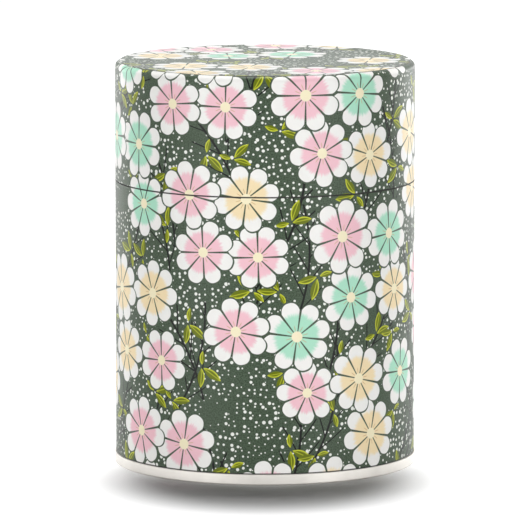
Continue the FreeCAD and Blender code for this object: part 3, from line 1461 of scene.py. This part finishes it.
@dataclass
class InnerLid(Assembly):
    """The inner lid: a pressed pan that hangs in the neck, with a turned knob and its rivet."""

    pan_wall_radius: float = 38.88 * MM
    pan_bend: float = 0.8 * MM
    flange_rounding: float = 0.45
    ridge_radius: float = 25.0 * MM
    ridge_crest: float = 2.4 * MM
    ridge_height: float = 0.8 * MM
    ridge_run: float = 1.4 * MM
    ridge_bend: float = 0.9 * MM
    knob_crown: float = 2.6 * MM
    knob_rim: float = 1.0 * MM
    knob_undercut: float = 1.6 * MM
    knob_waist_radius: float = 3.5 * MM
    knob_waist_height: float = 2.6 * MM
    knob_waist_bend: float = 0.99 * MM
    knob_foot_radius: float = 5.0 * MM
    knob_foot_height: float = 1.2 * MM
    knob_foot_corner: float = 0.4 * MM
    rivet_radius: float = 1.25 * MM
    rivet_head_height: float = 0.9 * MM
    rivet_head_corner: float = 0.6 * MM

    def build(self) -> None:
        """Builds and seats the inner lid's pieces."""
        self.seat_tin({"inner_lid_pan": self.pan()}, Body.INNER_COVER)
        knob_pieces = (
            ("inner_lid_knob_turned", "inner_lid_knob", self.knob()),
            ("knob_rivet_set", "knob_rivet", self.rivet()),
        )
        for name, node, outline in knob_pieces:
            mesh = self.shop.turn(name, outline, self.finishes.knob)
            self.shop.seat(mesh, node, Body.INNER_COVER, Slot.KNOB_METAL)

    def pan(self) -> Outline:
        """Outline of the pan, from its rivet hole out to its flange and back."""
        low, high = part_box("inner_lid_pan")
        tin, edge = self.stock.tin, self.stock.tin * self.flange_rounding
        floor, under_flange = low.z + tin, high.z - tin
        crest_inner = self.ridge_radius - self.ridge_crest / 2
        crest_outer = self.ridge_radius + self.ridge_crest / 2
        ridge_inner = crest_inner - self.ridge_run
        ridge_outer = crest_outer + self.ridge_run
        inner_bend, outer_bend = self.ridge_bend, self.ridge_bend + tin
        return Outline((
            (self.rivet_radius, low.z),
            (ridge_inner, low.z, outer_bend),
            (crest_inner, low.z + self.ridge_height, inner_bend),
            (crest_outer, low.z + self.ridge_height, inner_bend),
            (ridge_outer, low.z, outer_bend),
            (self.pan_wall_radius, low.z, self.pan_bend + tin),
            (self.pan_wall_radius, under_flange, self.stock.sheet_edge),
            (high.x, under_flange, edge),
            (high.x, high.z, edge),
            (self.pan_wall_radius - tin, high.z, tin),
            (self.pan_wall_radius - tin, floor, self.pan_bend),
            (ridge_outer, floor, inner_bend),
            (crest_outer, floor + self.ridge_height, outer_bend),
            (crest_inner, floor + self.ridge_height, outer_bend),
            (ridge_inner, floor, inner_bend),
            (self.rivet_radius, floor),
        ))

    def knob(self) -> Outline:
        """Outline of the knob, with its blind hole for the rivet."""
        low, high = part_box("inner_lid_knob")
        rivet_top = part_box("knob_rivet")[1].z
        foot_top = low.z + self.knob_foot_height
        waist_top = foot_top + self.knob_waist_height
        return Outline((
            (0.0, rivet_top),
            (self.rivet_radius, rivet_top),
            (self.rivet_radius, low.z),
            (self.knob_foot_radius, low.z, self.stock.sheet_edge),
            (self.knob_foot_radius, foot_top, self.knob_foot_corner),
            (self.knob_waist_radius, foot_top, self.knob_waist_bend),
            (self.knob_waist_radius, waist_top, self.knob_waist_bend),
            (high.x, waist_top + self.knob_undercut, self.knob_rim),
            (high.x, high.z, self.knob_crown),
            (0.0, high.z),
        ), closed=False)

    def rivet(self) -> Outline:
        """Outline of the rivet, with its head under the pan."""
        low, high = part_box("knob_rivet")
        head_top = low.z + self.rivet_head_height
        return Outline((
            (0.0, low.z),
            (high.x, low.z, self.rivet_head_corner),
            (high.x, head_top, self.stock.sheet_edge),
            (self.rivet_radius, head_top),
            (self.rivet_radius, high.z),
            (0.0, high.z),
        ), closed=False)


@dataclass
class OuterLid(Assembly):
    """The lid: rolled wall, rounded top plate, printed side paper turned over it and a paper disc."""

    edge_radius: float = 1.6 * MM
    edge_arc_step: float = math.radians(6)
    plate_skirt: float = 4.0 * MM
    plate_bend: float = 0.9 * MM
    paper_turn: float = 2.5 * MM
    paper_drape: float = 1.2 * MM
    disc_edge: float = 0.05 * MM
    disc_sheet_shift: Point = (352.0, 461.0)

    def build(self) -> None:
        """Builds and seats the lid's pieces."""
        wall_low, wall_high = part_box("lid_wall")
        self.seat_tin({
            "lid_wall": self.stock.wall(wall_low.z, wall_high.z),
            "lid_top_plate": self.top_plate(wall_high.z),
        }, Body.OUTER_LID)
        self.seat_wrap("lid_side_paper", self.side_paper(), Body.OUTER_LID)
        self.shop.seat(self.top_paper(), "lid_top_paper", Body.OUTER_LID, Slot.PRINTED_PAPER)

    def top_plate(self, seat: float) -> Outline:
        """Outline of the top plate.

        Args:
            seat: height of the wall's upper edge, which the plate seats on.

        Returns:
            The outline.
        """
        stock = self.stock
        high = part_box("lid_top_plate")[1].z
        skirt = seat - self.plate_skirt
        return Outline((
            (0.0, high),
            (stock.tin_radius, high, self.edge_radius - stock.paper),
            (stock.tin_radius, seat),
            (stock.bore_radius, seat),
            (stock.bore_radius, skirt, stock.sheet_edge),
            (stock.chuck_radius, skirt, stock.sheet_edge),
            (stock.chuck_radius, high - stock.tin, self.plate_bend),
            (0.0, high - stock.tin),
        ), closed=False)

    def side_paper(self) -> Outline:
        """Outer face of the side paper, from the lid's lower edge up and over its rounded edge."""
        low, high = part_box("lid_side_paper")
        radius = self.stock.paper_radius
        return Outline((
            (radius, low.z),
            (radius, high.z, self.edge_radius),
            (radius - self.edge_radius - self.paper_turn, high.z),
        ), closed=False, arc_step=self.edge_arc_step)

    def top_paper(self) -> bpy.types.Mesh:
        """Builds the paper disc, draped over the turned edge of the side paper.

        Returns:
            The mesh.
        """
        low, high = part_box("lid_top_paper")
        paper = self.stock.paper
        turned_bore = self.stock.paper_radius - self.edge_radius - self.paper_turn
        drape_foot = turned_bore - self.paper_drape
        outline = Outline((
            (0.0, low.z),
            (drape_foot, low.z),
            (turned_bore, high.z - paper),
            (high.x, high.z - paper),
            (high.x, high.z, self.disc_edge),
            (turned_bore, high.z, 2 * self.paper_drape),
            (drape_foot, low.z + paper, 2 * self.paper_drape),
            (0.0, low.z + paper),
        ), closed=False)
        mesh = self.shop.turn("lid_top_paper_disc", outline, self.finishes.printed)
        places = read_numbers(mesh.vertices, "co", np.float32, 3)
        corners = read_numbers(mesh.loops, "vertex_index", np.int32)
        add_map(mesh, SHEET_MAP, places[corners, :2] / MM + np.array(self.disc_sheet_shift))
        self.papers.dress(mesh)
        return mesh


@dataclass(frozen=True)
class Lamp:
    """A soft rectangular lamp that faces a point."""

    name: str
    place: tuple[float, float, float]
    target: tuple[float, float, float]
    width: float
    length: float
    power: float

    def build(self) -> None:
        """Adds the lamp to the scene."""
        data = bpy.data.lights.new(self.name, "AREA")
        data.shape = "RECTANGLE"
        data.size = self.width
        data.size_y = self.length
        data.energy = self.power
        lamp = add_object(self.name, data)
        lamp.location = self.place
        aim = Vector(self.target) - Vector(self.place)
        lamp.rotation_euler = aim.to_track_quat("-Z", "Y").to_euler()


@dataclass
class Studio:
    """White floor, soft light and the camera at the photograph's angle."""

    floor_side: float = 14.0
    floor_white: float = 0.58
    sky: float = 0.05
    shade_forward: float = 0.0386
    shade_half_width: float = 0.0378
    shade_half_depth: float = 0.0422
    shade_core: float = 0.64
    shade_end: float = 1.44
    lift: float = 0.75
    camera_distance: float = 1.7178
    camera_height: float = 0.2992
    camera_pitch: float = math.radians(8.12)
    lens: float = 429.4
    sensor: float = 36.0
    lamps: tuple[Lamp, ...] = (
        Lamp("overhead_softbox", (0.0, 0.38, 1.5), (0.0, 0.0, 0.0), 0.3, 0.42, 20.5),
        Lamp("left_fill", (-1.16, -1.12, 0.13), MIDDLE, 0.8, 0.24, 13.1),
        Lamp("right_fill", (1.16, -1.12, 0.13), MIDDLE, 0.8, 0.24, 13.3),
        Lamp("left_rim", (-0.72, 0.82, 0.13), MIDDLE, 0.4, 0.24, 2.9),
        Lamp("right_rim", (0.72, 0.82, 0.13), MIDDLE, 0.4, 0.24, 4.0),
    )

    def build(self) -> None:
        """Builds the floor, the world, the lamps and the camera."""
        bpy.context.scene.view_settings.view_transform = "Standard"
        self.build_floor()
        self.build_world()
        for lamp in self.lamps:
            lamp.build()
        self.build_camera()

    def build_floor(self) -> None:
        """Builds the floor, which shows as white to the camera away from the caddy's shadow."""
        half = self.floor_side / 2
        mesh = bpy.data.meshes.new("floor")
        corners = [(-half, -half, 0), (half, -half, 0), (half, half, 0), (-half, half, 0)]
        mesh.from_pydata(corners, [], [(0, 1, 2, 3)])
        floor = add_object("floor", mesh)
        made, graph, shader = new_material("floor_white")
        shader.inputs["Base Color"].default_value = (self.floor_white,) * 3 + (1.0,)
        shader.inputs["Roughness"].default_value = 1.0
        shader.inputs["Specular IOR Level"].default_value = 0.0
        x, y, _ = graph.split(graph.node("ShaderNodeTexCoord").outputs["Object"])
        across, ahead = x / self.shade_half_width, (y + self.shade_forward) / self.shade_half_depth
        away = (across * across + ahead * ahead).root().rise(self.shade_core, self.shade_end)
        glow = graph.node("ShaderNodeEmission")
        graph.feed(glow.inputs["Strength"], away * self.seen(graph) * self.lift)
        both = graph.node("ShaderNodeAddShader")
        graph.feed(both.inputs[0], shader.outputs[0])
        graph.feed(both.inputs[1], glow.outputs[0])
        graph.feed(made.node_tree.nodes["Material Output"].inputs["Surface"], both.outputs[0])
        mesh.materials.append(made)

    def build_world(self) -> None:
        """Builds an even white surround, at full white where it is seen or reflected."""
        world = bpy.data.worlds.new("white_surround")
        world.use_nodes = True
        graph = Graph(world.node_tree)
        back = world.node_tree.nodes["Background"]
        back.inputs["Color"].default_value = (1.0, 1.0, 1.0, 1.0)
        graph.feed(back.inputs["Strength"], self.seen(graph) * (1.0 - self.sky) + self.sky)
        bpy.context.scene.world = world

    def seen(self, graph: Graph) -> Wire:
        """Tells which rays show the white ground.

        Args:
            graph: graph of the material or the world.

        Returns:
            1 for rays from the camera and for those that mirror or pass on what it sees.
        """
        path = graph.node("ShaderNodeLightPath")
        camera = Wire(graph, path.outputs["Is Camera Ray"])
        glossy = Wire(graph, path.outputs["Is Glossy Ray"])
        through = Wire(graph, path.outputs["Is Transmission Ray"])
        return camera.most(glossy).most(through)

    def build_camera(self) -> None:
        """Adds the camera."""
        data = bpy.data.cameras.new("camera")
        data.lens = self.lens
        data.sensor_width = self.sensor
        data.clip_end = 2 * self.floor_side
        camera = add_object("camera", data)
        camera.location = (0.0, -self.camera_distance, self.camera_height)
        camera.rotation_euler = (math.pi / 2 - self.camera_pitch, 0.0, 0.0)
        bpy.context.scene.camera = camera


def main() -> None:
    """Builds the caddy's three bodies and the studio round them."""
    logging.basicConfig(level=logging.INFO, format="%(name)s: %(message)s")
    shop = Workshop()
    finishes = Finishes.build()
    stock = Stock.from_frame()
    for assembly in (Canister, InnerLid, OuterLid):
        assembly(stock, shop, finishes).build()
    Studio().build()


if __name__ == "__main__":
    main()
